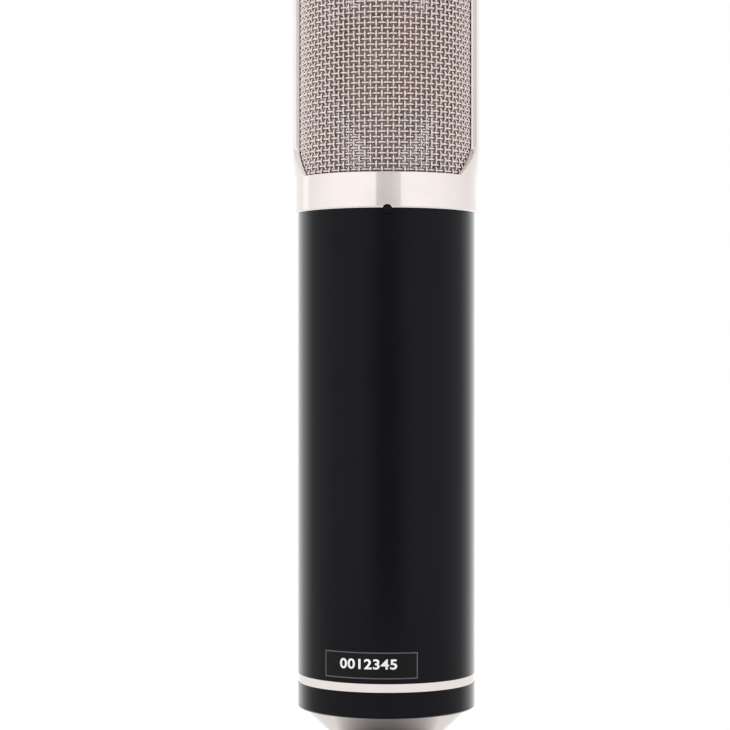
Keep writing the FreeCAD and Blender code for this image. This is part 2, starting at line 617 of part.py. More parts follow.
def meshes():
    """Coarse outer and fine inner mesh, each in two halves that meet under the hoop."""
    for half, side in SIDES.items():
        half_shell(f"outer_mesh_{half}", side, "Sizes.hoop_thickness + Sizes.clearance",
                   "Sizes.mesh_thickness")
        half_shell(f"inner_mesh_{half}", side, "Sizes.hoop_thickness + Sizes.inner_mesh_gap",
                   "Sizes.inner_mesh_thickness")


# ---------------------------------------------------------------- capsule


def saddle():
    """Post with a cradle under the capsule, on two rubber isolators."""
    foot = BASE_TOP + " + Sizes.isolator_height"
    step = foot + " + Sizes.saddle_foot"
    inner = "(Sizes.capsule_radius + Sizes.clearance)"
    outer = f"({inner} + Sizes.cradle_thickness)"
    across = "sin(Sizes.cradle_angle * 1deg)"
    down = "cos(Sizes.cradle_angle * 1deg)"
    neck = f"{CAPSULE_CENTRE} - sqrt({outer}^2 - Sizes.post_half_width^2)"
    right = [
        ("Sizes.saddle_half_width", foot), ("Sizes.saddle_half_width", step),
        ("Sizes.post_half_width", step), ("Sizes.post_half_width", neck, outer, 1),
        (f"{outer} * {across}", f"{CAPSULE_CENTRE} - {outer} * {down}"),
        (f"{inner} * {across}", f"{CAPSULE_CENTRE} - {inner} * {down}", inner, -1)]
    left = [
        (f"-{inner} * {across}", f"{CAPSULE_CENTRE} - {inner} * {down}"),
        (f"-{outer} * {across}", f"{CAPSULE_CENTRE} - {outer} * {down}", outer, 1),
        ("-Sizes.post_half_width", neck), ("-Sizes.post_half_width", step),
        ("-Sizes.saddle_half_width", step), ("-Sizes.saddle_half_width", foot)]
    blank = padded("saddle_blank", "XZ_Plane", right + left, "Sizes.saddle_depth")
    holes = screw_holes("saddle_holes", foot_spots, "Sizes.saddle_screw")
    keep(cut("saddle_cut", blank, [holes]), "capsule_saddle")
    bush = washer("isolator_blank", "Sizes.screw_hole", "Sizes.isolator_radius", 0,
                  "Sizes.isolator_height")
    spots = [at(f"{side} * Sizes.isolator_spacing", 0, BASE_TOP) for side in (-1, 1)]
    keep(repeated("isolator_group", bush, spots), "rubber_isolators")
    screws("saddle_screws", foot_spots, "Sizes.saddle_screw")


def capsule():
    """Round double-diaphragm capsule, its axis along Y, contacted at the diaphragms' centres."""
    def stand(piece, side):
        return place(piece, z=CAPSULE_CENTRE, turn=ALONG_Y if side > 0 else AGAINST_Y)

    clamp_spots = on_circle("Sizes.clamp_circle", clamp_angles, 0)
    bore = "Sizes.stud_radius + Sizes.clearance"
    holes = drills("clamp_holes", "Sizes.clamp_hole", clamp_spots, "Sizes.capsule_radius")
    centre_hole = cylinder("centre_hole", bore, "2 * Sizes.capsule_radius",
                           z="-Sizes.capsule_radius")
    ring = washer("insulating_ring", "Sizes.capsule_ring_bore", "Sizes.capsule_radius",
                  "-Sizes.capsule_half_depth", "Sizes.capsule_half_depth")
    keep(stand(ring, 1), "capsule_ring")
    disc = washer("backplate_disc", 0, "Sizes.backplate_radius", "-Sizes.backplate_half_depth",
                  "Sizes.backplate_half_depth")
    keep(stand(cut("backplate_cut", disc, [holes, centre_hole]), 1), "capsule_backplate")
    seat = "Sizes.backplate_half_depth + Sizes.diaphragm_thickness"
    clamp_top = seat + " + Sizes.clamp_thickness"
    for half, side in SIDES.items():
        film = washer(f"film_{half}", bore, "Sizes.diaphragm_radius",
                      "Sizes.backplate_half_depth", seat)
        keep(stand(film, side), f"diaphragm_{half}")
        clamp = washer(f"clamp_blank_{half}", "Sizes.clamp_bore", "Sizes.backplate_radius", seat,
                       clamp_top)
        keep(stand(cut(f"clamp_cut_{half}", clamp, [holes]), side), f"clamp_ring_{half}")
        flange = seat + " + Sizes.terminal_height"
        terminal = turned(f"terminal_{half}", [
            (0, "Sizes.stud_root"), ("Sizes.stud_radius", "Sizes.stud_root"),
            ("Sizes.stud_radius", seat), ("Sizes.terminal_radius", seat),
            ("Sizes.terminal_radius", flange), ("Sizes.stud_radius", flange),
            ("Sizes.stud_radius", clamp_top), (0, clamp_top)])
        keep(stand(terminal, side), f"centre_terminal_{half}")
        turn = ALONG_Y if side > 0 else AGAINST_Y
        centre = FreeCAD.Placement(Vector(0, 0, value(CAPSULE_CENTRE)), turn)
        heads = on_circle("Sizes.clamp_circle", clamp_angles, clamp_top)
        screws(f"clamp_screws_{half}", [centre.multiply(spot) for spot in heads],
               "Sizes.clamp_screw", "Sizes.clamp_shank", "Sizes.clamp_head",
               "Sizes.clamp_head_depth")


def capsule_leads():
    """Bare leads from the centre terminals down to the bushes, and wires on to the board."""
    top = value(CAPSULE_CENTRE)
    start = value("Sizes.backplate_half_depth + Sizes.diaphragm_thickness + Sizes.clamp_thickness")
    reach = value("Sizes.lead_offset")
    radius = value("Sizes.lead_radius")
    bush_top = value(BASE_TOP + " + Sizes.bush_proud")
    bush_bottom = value(BASE_BOTTOM)
    joint_height = value("Sizes.wire_joint")
    faces = {"front": value(BOARD_FRONT), "rear": value("Sizes.board_face")}
    for half, side in SIDES.items():
        lead = bent_wire(f"lead_{half}", [
            (0, side * start, top), (0, side * reach, top), (0, side * reach, bush_top)], radius,
            value("Sizes.lead_bend"))
        keep(lead, f"capsule_lead_{half}")
        wire = bent_wire(f"board_wire_{half}", [
            (0, side * reach, bush_bottom), (0, side * reach, joint_height),
            (0, faces[half], joint_height)], radius, value("Sizes.wire_bend"))
        keep(wire, f"grid_wire_{half}")


# ---------------------------------------------------------------- electronics


def circuit_board():
    board = block("board_blank", "Sizes.board_width", "Sizes.board_thickness",
                  "Sizes.board_height", y="Sizes.board_face + Sizes.board_thickness / 2",
                  z="Sizes.board_bottom")
    holes = screw_holes("board_holes", board_spots, "Sizes.board_screw")
    keep(cut("board_cut", board, [holes]), "circuit_board")
    screws("board_screws", board_spots, "Sizes.board_screw")


def components():
    """Parts standing on the front of the board."""
    def grid(columns, rows, lift="0", turn=ALONG_Y):
        return [at(x, f"{BOARD_FRONT} + {lift}", height, turn) for height in rows for x in columns]

    can, rim = "Sizes.can_radius", "Sizes.can_rim"
    groove, half_groove = "Sizes.can_groove_height", "Sizes.can_groove_half_width"
    can_blank = turned("electrolytic_can", [
        (0, 0), (can, 0), (can, f"{groove} - {half_groove}"),
        (f"{can} - Sizes.can_groove_depth", groove), (can, f"{groove} + {half_groove}"),
        (can, f"Sizes.can_height - {rim}"), (f"{can} - {rim}", "Sizes.can_height"),
        (0, "Sizes.can_height")])
    keep(repeated("can_group", can_blank, grid(CAN_COLUMNS, CAN_ROWS)), "electrolytic_capacitors")

    long, wide = "Sizes.film_half_length", "Sizes.film_half_width"
    film = padded("film_box", "XY_Plane", [
        (f"-{long}", f"-{wide}"), (long, f"-{wide}"), (long, wide), (f"-{long}", wide)],
        "Sizes.film_thickness")
    film_spots = grid(FILM_COLUMNS, FILM_ROWS, "Sizes.film_thickness / 2")
    keep(repeated("film_group", film, film_spots), "film_capacitors")

    end, chamfer = "Sizes.resistor_half_length", "Sizes.resistor_chamfer"
    side, waist = "Sizes.resistor_radius", "Sizes.resistor_waist"
    cap_edge = f"{end} - Sizes.resistor_cap + {chamfer}"
    waist_edge = f"{end} - Sizes.resistor_cap"
    half = [(waist, waist_edge), (side, cap_edge), (side, f"{end} - {chamfer}"),
            (f"{side} - {chamfer}", end), (0, end)]
    mirrored = [(radius, f"-({height})") for radius, height in reversed(half)]
    resistor = turned("resistor_body", mirrored + half)
    resistor_spots = grid(RESISTOR_COLUMNS, RESISTOR_ROWS, side, ALONG_X)
    keep(repeated("resistor_group", resistor, resistor_spots), "resistors")

    foot, top = "Sizes.transistor_standoff", "Sizes.transistor_top"
    flange_top = foot + " + Sizes.transistor_flange_thickness"
    body, bevel = "Sizes.transistor_radius", "Sizes.transistor_chamfer"
    transistor = turned("transistor_can", [
        (0, foot), ("Sizes.transistor_flange", foot), ("Sizes.transistor_flange", flange_top),
        (body, flange_top), (body, f"{top} - {bevel}"), (f"{body} - {bevel}", top), (0, top)])
    transistor_spots = grid(TRANSISTOR_COLUMNS, TRANSISTOR_ROWS)
    keep(repeated("transistor_group", transistor, transistor_spots), "transistors")


def transformer():
    """Output transformer: laminated core with two windows, coil on the middle leg, bracket."""
    bottom = PLATE_TOP + " + Sizes.bracket_thickness"
    window_width = "(Sizes.core_width - Sizes.core_leg - 2 * Sizes.core_yoke) / 2"
    window_height = "Sizes.core_height - 2 * Sizes.core_yoke"
    stack = block("core_stack", "Sizes.core_width", "Sizes.core_depth", "Sizes.core_height",
                  y="Sizes.transformer_offset", z=bottom)
    windows = [block(f"core_window_{index}", window_width, "Sizes.core_depth * 2", window_height,
                     x=f"{side} * (Sizes.core_leg + {window_width}) / 2",
                     y="Sizes.transformer_offset", z=bottom + " + Sizes.core_yoke")
               for index, side in enumerate((-1, 1))]
    keep(cut("core_cut", stack, windows), "transformer_core")
    coil_width = f"Sizes.core_leg + 2 * {window_width} - 2 * Sizes.coil_gap"
    coil_height = f"{window_height} - 2 * Sizes.coil_gap"
    coil_bottom = bottom + " + Sizes.core_yoke + Sizes.coil_gap"
    winding = block("coil_winding", coil_width, "Sizes.coil_depth", coil_height,
                    y="Sizes.transformer_offset", z=coil_bottom)
    leg = block("coil_opening", "Sizes.core_leg + 2 * Sizes.coil_gap",
                "Sizes.core_depth + 2 * Sizes.coil_gap", "Sizes.core_height",
                y="Sizes.transformer_offset", z=bottom)
    keep(cut("coil_cut", winding, [leg]), "transformer_coil")
    strap = block("strap", "Sizes.bracket_width", "Sizes.core_depth", "Sizes.bracket_thickness",
                  y="Sizes.transformer_offset", z=PLATE_TOP)
    holes = screw_holes("strap_holes", bracket_spots, "Sizes.bracket_screw")
    keep(cut("strap_cut", strap, [holes]), "transformer_bracket")
    screws("transformer_screws", bracket_spots, "Sizes.bracket_screw", head="Sizes.bracket_head")


def low_cut_switch():
    """Slide switch on a channel bracket behind the slot in the tube."""
    half = "Sizes.switch_length / 2"
    depth = f"Sizes.switch_seat - ({BOARD_FRONT})"
    low = f"Sizes.switch_height - {half}"
    channel = block("channel_blank", "Sizes.switch_width", depth, "Sizes.switch_length",
                    y=f"{BOARD_FRONT} + ({depth}) / 2", z=low)
    opening = block("channel_opening", "Sizes.switch_width - 2 * Sizes.channel_wall",
                    f"({depth}) - 2 * Sizes.channel_wall",
                    "Sizes.switch_length * 2", y=f"{BOARD_FRONT} + ({depth}) / 2",
                    z="Sizes.switch_height - Sizes.switch_length")
    keep(cut("channel_cut", channel, [opening]), "switch_bracket")
    case_depth = "Sizes.switch_top - Sizes.switch_seat"
    case = block("switch_case", "Sizes.switch_width", case_depth, "Sizes.switch_length",
                 y=f"Sizes.switch_seat + ({case_depth}) / 2", z=low)
    gap = "Sizes.slider_gap"
    track = block("switch_track", f"Sizes.slider_width + 2 * {gap}", "Sizes.switch_top",
                  f"Sizes.slider_length + Sizes.slider_travel + 2 * {gap}",
                  y=f"Sizes.slider_root - {gap} + Sizes.switch_top / 2",
                  z=f"Sizes.switch_height - (Sizes.slider_length + Sizes.slider_travel) / 2 - {gap}")
    keep(cut("switch_cut", case, [track]), "switch_body")
    reach = "Sizes.slider_tip - Sizes.slider_root"
    keep(block("slider_block", "Sizes.slider_width", reach, "Sizes.slider_length",
               y=f"Sizes.slider_root + ({reach}) / 2",
               z="Sizes.switch_height - (Sizes.slider_length + Sizes.slider_travel) / 2"),
         "switch_slider")


def signal_leads():
    """Three wires from the connector pins up through the lower plate to the board's edge."""
    start = value("Sizes.pin_recess + Sizes.pin_length")
    bend = value("Sizes.pin_recess + Sizes.pin_length + Sizes.signal_rise")
    upright = value("Sizes.pin_recess + Sizes.pin_length + Sizes.signal_rise + Sizes.signal_slant")
    end = value("Sizes.board_bottom")
    board_middle = value("Sizes.board_face + Sizes.board_thickness / 2")
    wires = []
    for index, (spot, x) in enumerate(zip(pin_spots, SIGNAL_COLUMNS)):
        base = spot.Base
        wires.append(bent_wire(f"signal_wire_{index}", [
            (base.x, base.y, start), (base.x, base.y, bend), (x, board_middle, upright),
            (x, board_middle, end)], value("Sizes.signal_radius"), value("Sizes.lead_bend")))
    group = document.addObject("Part::Compound", "signal_group")
    group.Links = wires
    keep(group, "signal_leads")


# ---------------------------------------------------------------- build and write


def check(things):
    """Stop on any failed object or broken shape."""
    for thing in document.Objects:
        if "Invalid" in thing.State or "Error" in thing.State:
            raise RuntimeError(f"{thing.Label}: {thing.State}")
    for thing in things:
        if thing.Shape.isNull() or not thing.Shape.isValid() or not thing.Shape.Solids:
            raise RuntimeError(f"{thing.Label}: no valid solid")


for build in (end_bell, connector, ring_and_band, body_tube, serial_label, lower_plate, rails,
              head_base_plate, lock_screw, collar, hoop_frame, meshes, saddle, capsule,
              capsule_leads, circuit_board, components, transformer, low_cut_switch, signal_leads):
    build()
document.recompute()
check(nodes)
os.makedirs("parts", exist_ok=True)
for node in nodes:
    node.Shape.exportStep(f"parts/{node.Label}.step")
    box = node.Shape.BoundBox
    print(f"{node.Label:26s} solids {len(node.Shape.Solids):3d} volume {node.Shape.Volume:10.2f}"
          f" x {box.XMin:7.2f} {box.XMax:7.2f} y {box.YMin:7.2f} {box.YMax:7.2f}"
          f" z {box.ZMin:7.2f} {box.ZMax:7.2f}")
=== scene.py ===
"""Looks of a side-address studio microphone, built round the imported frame. Metres, +Z up."""
import json
import math

import bpy
import numpy as np
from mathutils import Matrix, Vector


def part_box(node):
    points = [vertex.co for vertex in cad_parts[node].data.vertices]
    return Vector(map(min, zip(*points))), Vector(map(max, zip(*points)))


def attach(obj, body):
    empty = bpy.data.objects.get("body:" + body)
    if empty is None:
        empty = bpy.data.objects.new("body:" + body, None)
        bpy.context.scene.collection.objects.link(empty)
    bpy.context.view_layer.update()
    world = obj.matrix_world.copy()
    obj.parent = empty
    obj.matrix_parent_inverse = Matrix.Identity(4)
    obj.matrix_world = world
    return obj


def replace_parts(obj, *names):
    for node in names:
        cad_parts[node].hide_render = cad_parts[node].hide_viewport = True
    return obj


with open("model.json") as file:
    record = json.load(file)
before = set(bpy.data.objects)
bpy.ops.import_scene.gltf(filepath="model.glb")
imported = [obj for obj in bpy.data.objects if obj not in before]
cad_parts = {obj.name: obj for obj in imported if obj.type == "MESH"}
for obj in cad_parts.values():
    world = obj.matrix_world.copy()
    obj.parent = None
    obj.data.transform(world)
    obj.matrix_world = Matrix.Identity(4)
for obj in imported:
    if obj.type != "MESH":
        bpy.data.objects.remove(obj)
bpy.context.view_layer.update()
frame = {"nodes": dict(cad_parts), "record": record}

NODES = frame["nodes"]
MM = 0.001

# ---------------------------------------------------------------- places taken from the frame

mesh_low, mesh_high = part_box("outer_mesh_front")
hoop_low, hoop_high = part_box("hoop_frame")
tube_low, tube_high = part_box("body_tube")
_, collar_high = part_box("collar")
ring_low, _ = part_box("lock_ring")
_, bell_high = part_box("end_bell")
label_low, label_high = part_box("serial_label")
inner_low, inner_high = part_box("inner_mesh_front")

HOOP_RADIUS = hoop_high.x
HOOP_CORNER = 19.5 * MM
HOOP_FLAT = HOOP_RADIUS - HOOP_CORNER
SHOULDER = hoop_high.z - HOOP_CORNER
HOOP_THICKNESS = 1.85 * MM
TUBE_RADIUS = tube_high.x

# ---------------------------------------------------------------- camera

CAMERA_YAW = math.radians(5.3)
CAMERA_DISTANCE = 613 * MM
CAMERA_SIDESTEP = 6.04 * MM
EYE_LEVEL = 119 * MM
LENS = 106.7
HORIZON_SHIFT = 0.0084
TOWARDS_CAMERA = Vector((math.sin(CAMERA_YAW), -math.cos(CAMERA_YAW), 0))
CAMERA_RIGHT = Vector((math.cos(CAMERA_YAW), math.sin(CAMERA_YAW), 0))


def make_camera():
    data = bpy.data.cameras.new("camera")
    data.lens = LENS
    data.sensor_width = 36
    data.shift_y = HORIZON_SHIFT
    data.clip_start = 0.01
    data.clip_end = 20
    camera = bpy.data.objects.new("camera", data)
    bpy.context.scene.collection.objects.link(camera)
    camera.location = TOWARDS_CAMERA * CAMERA_DISTANCE - CAMERA_RIGHT * CAMERA_SIDESTEP
    camera.location.z = EYE_LEVEL
    camera.rotation_euler = (-TOWARDS_CAMERA).to_track_quat("-Z", "Y").to_euler()
    bpy.context.scene.camera = camera


make_camera()

# ---------------------------------------------------------------- node helpers


class Shader:
    """A Principled material with short ways to feed its sockets from procedural patterns."""

    def __init__(self, name, colour, metallic=0.0, roughness=0.4, **sockets):
        self.material = bpy.data.materials.new(name)
        self.material.use_nodes = True
        self.tree = self.material.node_tree
        self.surface = self.tree.nodes["Principled BSDF"]
        self.colour = colour
        self.surface.inputs["Base Color"].default_value = (*colour, 1)
        self.surface.inputs["Metallic"].default_value = metallic
        self.surface.inputs["Roughness"].default_value = roughness
        for socket, number in sockets.items():
            self.surface.inputs[socket.replace("_", " ")].default_value = number

    def node(self, kind, **settings):
        made = self.tree.nodes.new(kind)
        for name, setting in settings.items():
            setattr(made, name, setting)
        return made

    def link(self, source, target):
        self.tree.links.new(source, target)

    def place(self, stretch=(1, 1, 1)):
        """Object coordinates, stretched."""
        coordinates = self.node("ShaderNodeTexCoord")
        mapping = self.node("ShaderNodeMapping")
        mapping.inputs["Scale"].default_value = stretch
        self.link(coordinates.outputs["Object"], mapping.inputs["Vector"])
        return mapping.outputs["Vector"]

    def noise(self, size, detail=3, stretch=(1, 1, 1), roughness=0.55):
        """Noise whose features are about size metres across, from 0 to 1."""
        noise = self.node("ShaderNodeTexNoise")
        noise.inputs["Scale"].default_value = 1 / size
        noise.inputs["Detail"].default_value = detail
        noise.inputs["Roughness"].default_value = roughness
        self.link(self.place(stretch), noise.inputs["Vector"])
        return noise.outputs["Fac"]

    def spread(self, factor, low, high, from_low=0.3, from_high=0.7):
        """Map a pattern's middle range onto low to high."""
        spread = self.node("ShaderNodeMapRange")
        for socket, number in zip(("From Min", "From Max", "To Min", "To Max"),
                                  (from_low, from_high, low, high)):
            spread.inputs[socket].default_value = number
        self.link(factor, spread.inputs["Value"])
        return spread.outputs["Result"]

    def tint(self, factor, dark, light):
        """Base colour between dark and light times the material's own colour."""
        mix = self.node("ShaderNodeMix", data_type="RGBA")
        mix.inputs["A"].default_value = (*[part * dark for part in self.colour], 1)
        mix.inputs["B"].default_value = (*[min(part * light, 1) for part in self.colour], 1)
        self.link(factor, mix.inputs["Factor"])
        self.link(mix.outputs["Result"], self.surface.inputs["Base Color"])
        return self

    def rough(self, factor, low, high):
        self.link(self.spread(factor, low, high), self.surface.inputs["Roughness"])
        return self

    def bump(self, height, distance, strength=1.0):
        bump = self.node("ShaderNodeBump")
        bump.inputs["Strength"].default_value = strength
        bump.inputs["Distance"].default_value = distance
        self.link(height, bump.inputs["Height"])
        self.link(bump.outputs["Normal"], self.surface.inputs["Normal"])
        return self


TURNED = (1, 1, 60)  # stretches noise into fine lines round the Z axis


def worn_metal(name, colour, roughness, size=2 * MM, swing=0.3, stretch=(1, 1, 1), depth=0.004 * MM):
    """Bare or plated metal: cloudy polish, slight stain, fine tool lines."""
    shader = Shader(name, colour, metallic=1.0, roughness=roughness)
    cloud = shader.noise(size * 4)
    shader.tint(shader.spread(cloud, 0, 1), 1 - swing * 0.3, 1 + swing * 0.12)
    lines = shader.noise(size, stretch=stretch)
    shader.rough(lines, roughness * (1 - swing), roughness * (1 + swing))
    shader.bump(lines, depth)
    return shader.material


def moulded(name, colour, roughness, grain=0.25 * MM, depth=0.01 * MM, swing=0.15, **sockets):
    """Moulded, dipped or painted surface: fine grain, faint cloud, even gloss."""
    shader = Shader(name, colour, roughness=roughness, **sockets)
    cloud = shader.noise(grain * 20)
    shader.tint(shader.spread(cloud, 0, 1), 1 - swing, 1 + swing)
    skin = shader.noise(grain)
    shader.rough(skin, roughness * 0.85, roughness * 1.15)
    shader.bump(skin, depth)
    return shader.material


# ---------------------------------------------------------------- materials by slot


EDGE_START, EDGE_FULL = 0.45, 0.7  # how far the paint turns away before its coat is at full gloss
# painted highlight: the gold film's colour is lighter within this distance of its centre, fading by
# the edge
PAINTED_HIGHLIGHT_RADIUS, PAINTED_HIGHLIGHT_EDGE = 2.5 * MM, 6 * MM
RIPPLE_SHARE = 0.12
BAND_WIDTH = 0.05      # share of the pitch that a painted colour band takes
WAVES_PER_UNIT = 3.2   # waves in one unit of the wave texture's scale


def black_paint():
    """Satin black: very low gloss seen straight on, bright only at the edges."""
    shader = Shader("black_paint", (0.0022, 0.0028, 0.0042), roughness=0.24,
                    Specular_IOR_Level=0.095, Coat_IOR=1.3, Coat_Roughness=0.12)
    shader.surface.inputs["Specular Tint"].default_value = (1.0, 0.86, 1.0, 1)
    facing = shader.node("ShaderNodeLayerWeight").outputs["Facing"]
    edge = shader.spread(facing, 0.12, 1.0, EDGE_START, EDGE_FULL)
    shader.link(edge, shader.surface.inputs["Coat Weight"])
    peel = shader.noise(0.9 * MM, detail=2)
    cloud = shader.noise(14 * MM)
    shader.tint(shader.spread(cloud, 0, 1), 0.85, 1.2)
    shader.rough(cloud, 0.21, 0.26)
    shader.bump(peel, 0.0012 * MM)
    return shader.material


def nickel_plate():
    """Bright nickel with faint lines from turning and polishing."""
    shader = Shader("nickel_plate", (0.775, 0.715, 0.69), metallic=1.0, roughness=0.1)
    lines = shader.noise(6 * MM, detail=6, stretch=TURNED)
    cloud = shader.noise(9 * MM)
    shader.tint(shader.spread(cloud, 0, 1), 0.97, 1.02)
    shader.rough(lines, 0.05, 0.11)
    shader.bump(lines, 0.0008 * MM)
    return shader.material


def nickel_wire():
    """Plated wire, its tone and gloss varying in small random clouds."""
    shader = Shader("nickel_mesh", (0.77, 0.675, 0.648), metallic=1.0, roughness=0.24)
    cloud = shader.noise(1.1 * MM, detail=4)
    shader.tint(shader.spread(cloud, 0, 1), 0.85, 1.06)
    shader.rough(cloud, 0.17, 0.32)
    return shader.material


def fine_wire():
    shader = Shader("fine_mesh", (0.63, 0.56, 0.52), metallic=1.0, roughness=0.35)
    cloud = shader.noise(0.8 * MM, detail=4)
    shader.tint(shader.spread(cloud, 0, 1), 0.88, 1.08)
    shader.rough(cloud, 0.28, 0.42)
    return shader.material


def gold_film():
    """Gold-sputtered film, tight, rippled faintly, with a painted highlight round its clamped
    centre.
    """
    shader = Shader("gold_film", (0.84, 0.61, 0.47), metallic=1.0, roughness=0.2)
    ripple = shader.noise(5 * MM, detail=1)
    low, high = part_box("diaphragm_front")
    offset = shader.node("ShaderNodeVectorMath", operation="SUBTRACT")
    offset.inputs[1].default_value = (0, 0, (low.z + high.z) / 2)
    shader.link(shader.node("ShaderNodeTexCoord").outputs["Object"], offset.inputs[0])
    across = shader.node("ShaderNodeVectorMath", operation="MULTIPLY")
    across.inputs[1].default_value = (1, 0, 1)
    shader.link(offset.outputs["Vector"], across.inputs[0])
    length = shader.node("ShaderNodeVectorMath", operation="LENGTH")
    shader.link(across.outputs["Vector"], length.inputs[0])
    # painted highlight: the film's colour lightens towards the middle of the diaphragm
    painted_highlight = shader.spread(length.outputs["Value"], 1, 0, PAINTED_HIGHLIGHT_RADIUS, PAINTED_HIGHLIGHT_EDGE)
    ripple_and_painted_highlight = shader.node("ShaderNodeMath", operation="MULTIPLY_ADD")
    ripple_and_painted_highlight.inputs[1].default_value = RIPPLE_SHARE
    shader.link(ripple, ripple_and_painted_highlight.inputs[0])
    shader.link(painted_highlight, ripple_and_painted_highlight.inputs[2])
    shader.tint(ripple_and_painted_highlight.outputs["Value"], 0.86, 1.35)
    shader.rough(ripple, 0.16, 0.24)
    shader.bump(ripple, 0.01 * MM)
    return shader.material


def board_laminate():
    """Green solder mask over a grid of tracks."""
    shader = Shader("board_laminate", (0.012, 0.075, 0.03), roughness=0.35)
    tracks = shader.node("ShaderNodeTexBrick", offset=0.35, squash=0.6)
    tracks.inputs["Scale"].default_value = 120
    tracks.inputs["Mortar Size"].default_value = 0.06
    tracks.inputs["Color1"].default_value = (0.010, 0.062, 0.025, 1)
    tracks.inputs["Color2"].default_value = (0.014, 0.085, 0.034, 1)
    tracks.inputs["Mortar"].default_value = (0.03, 0.16, 0.06, 1)
    coordinates = shader.node("ShaderNodeTexCoord")
    turn = shader.node("ShaderNodeMapping")
    turn.inputs["Rotation"].default_value = (math.pi / 2, 0, 0)
    shader.link(coordinates.outputs["Object"], turn.inputs["Vector"])
    shader.link(turn.outputs["Vector"], tracks.inputs["Vector"])
    shader.link(tracks.outputs["Color"], shader.surface.inputs["Base Color"])
    shader.bump(tracks.outputs["Fac"], 0.02 * MM)
    return shader.material


def banded(name, colour, bands, start, pitch, along, roughness=0.25):
    """Lacquered body with painted colour bands repeated along one axis."""
    shader = Shader(name, colour, roughness=roughness)
    coordinates = shader.node("ShaderNodeTexCoord")
    split = shader.node("ShaderNodeSeparateXYZ")
    shader.link(coordinates.outputs["Object"], split.inputs["Vector"])
    shift = shader.node("ShaderNodeMath", operation="ADD")
    shift.inputs[1].default_value = start
    shader.link(split.outputs[along], shift.inputs[0])
    wrap = shader.node("ShaderNodeMath", operation="WRAP")
    wrap.inputs[1].default_value = 0.0
    wrap.inputs[2].default_value = pitch
    shader.link(shift.outputs["Value"], wrap.inputs[0])
    ramp = shader.node("ShaderNodeValToRGB")
    ramp.color_ramp.interpolation = "CONSTANT"
    scale = shader.spread(wrap.outputs["Value"], 0, 1, 0, pitch)
    shader.link(scale, ramp.inputs["Fac"])
    stops = ramp.color_ramp.elements
    stops[0].color = (*colour, 1)
    stops[1].position = 0.999
    stops[1].color = (*colour, 1)
    for place, band in bands:
        stops.new(place).color = (*band, 1)
        stops.new(place + BAND_WIDTH).color = (*colour, 1)
    shader.link(ramp.outputs["Color"], shader.surface.inputs["Base Color"])
    shader.bump(shader.noise(0.4 * MM), 0.004 * MM)
    return shader.material


def laminated(name, colour, pitch, along):
    """Stacked sheets seen on edge."""
    shader = Shader(name, colour, metallic=0.6, roughness=0.5)
    sheets = shader.node("ShaderNodeTexWave", wave_type="BANDS", bands_direction=along)
    sheets.inputs["Scale"].default_value = 1 / pitch / WAVES_PER_UNIT
    sheets.inputs["Distortion"].default_value = 0.4
    shader.link(shader.place(), sheets.inputs["Vector"])
    shader.tint(sheets.outputs["Fac"], 0.6, 1.2)
    shader.rough(shader.noise(2 * MM), 0.4, 0.6)
    shader.bump(sheets.outputs["Fac"], 0.05 * MM)
    return shader.material


MATERIALS = {
    "black_paint": black_paint(),
    "black_steel": moulded("black_steel", (0.003, 0.003, 0.003), 0.4, Specular_IOR_Level=0.1),
    "nickel_plate": nickel_plate(),
    "nickel_mesh": nickel_wire(),
    "fine_mesh": fine_wire(),
    "black_plastic": moulded("black_plastic", (0.018, 0.018, 0.019), 0.45),
    "ivory_plastic": moulded("ivory_plastic", (0.72, 0.68, 0.6), 0.4),
    "gold_plate": worn_metal("gold_plate", (0.88, 0.64, 0.25), 0.16),
    "bare_brass": worn_metal("bare_brass", (0.78, 0.58, 0.28), 0.24),
    "steel_screws": worn_metal("steel_screws", (0.72, 0.71, 0.69), 0.22),
    "label_film": moulded("label_film", (0.0055, 0.0055, 0.005), 0.26, Specular_IOR_Level=0.12),
    "aluminium_plate": worn_metal("aluminium_plate", (0.74, 0.75, 0.76), 0.32,
                                  stretch=(1, 1, 12), depth=0.01 * MM),
    "white_ptfe": moulded("white_ptfe", (0.86, 0.86, 0.83), 0.4),
    "isolator_rubber": moulded("isolator_rubber", (0.02, 0.02, 0.02), 0.75, depth=0.03 * MM),
    "gold_film": gold_film(),
    "tinned_wire": worn_metal("tinned_wire", (0.78, 0.76, 0.72), 0.25),
    "wire_insulation": moulded("wire_insulation", (0.42, 0.03, 0.025), 0.4),
    "board_laminate": board_laminate(),
    "capacitor_sleeve": banded("capacitor_sleeve", (0.012, 0.02, 0.06),
                               [(0.1, (0.5, 0.52, 0.55))], 12 * MM, 16 * MM, "X"),
    "film_capacitor_case": moulded("film_capacitor_case", (0.42, 0.035, 0.02), 0.25),
    "resistor_body": banded("resistor_body", (0.16, 0.36, 0.52),
                            [(0.24, (0.35, 0.14, 0.03)), (0.36, (0.02, 0.02, 0.02)),
                             (0.48, (0.5, 0.03, 0.02)), (0.68, (0.3, 0.12, 0.03))],
                            5 * MM, 10 * MM, "X"),
    "transistor_can": worn_metal("transistor_can", (0.72, 0.7, 0.64), 0.25),
    "core_steel": laminated("core_steel", (0.2, 0.2, 0.22), 0.5 * MM, "Y"),
    "coil_tape": moulded("coil_tape", (0.7, 0.5, 0.08), 0.35, grain=0.6 * MM, depth=0.03 * MM),
    "switch_metal": worn_metal("switch_metal", (0.68, 0.68, 0.69), 0.3),
    "slider_plastic": moulded("slider_plastic", (0.02, 0.02, 0.02), 0.5),
}


def dress_nodes():
    """Give every CAD node the material of its slot, and smooth its round faces."""
    for part in frame["record"]["subparts"]:
        node = NODES[part["node"]]
        node.data.materials.clear()
        node.data.materials.append(MATERIALS[part["material_slot"]])
        node.data.polygons.foreach_set("use_smooth", [True] * len(node.data.polygons))
        node.data.set_sharp_from_angle(angle=math.radians(28))


dress_nodes()

# ---------------------------------------------------------------- mesh helpers


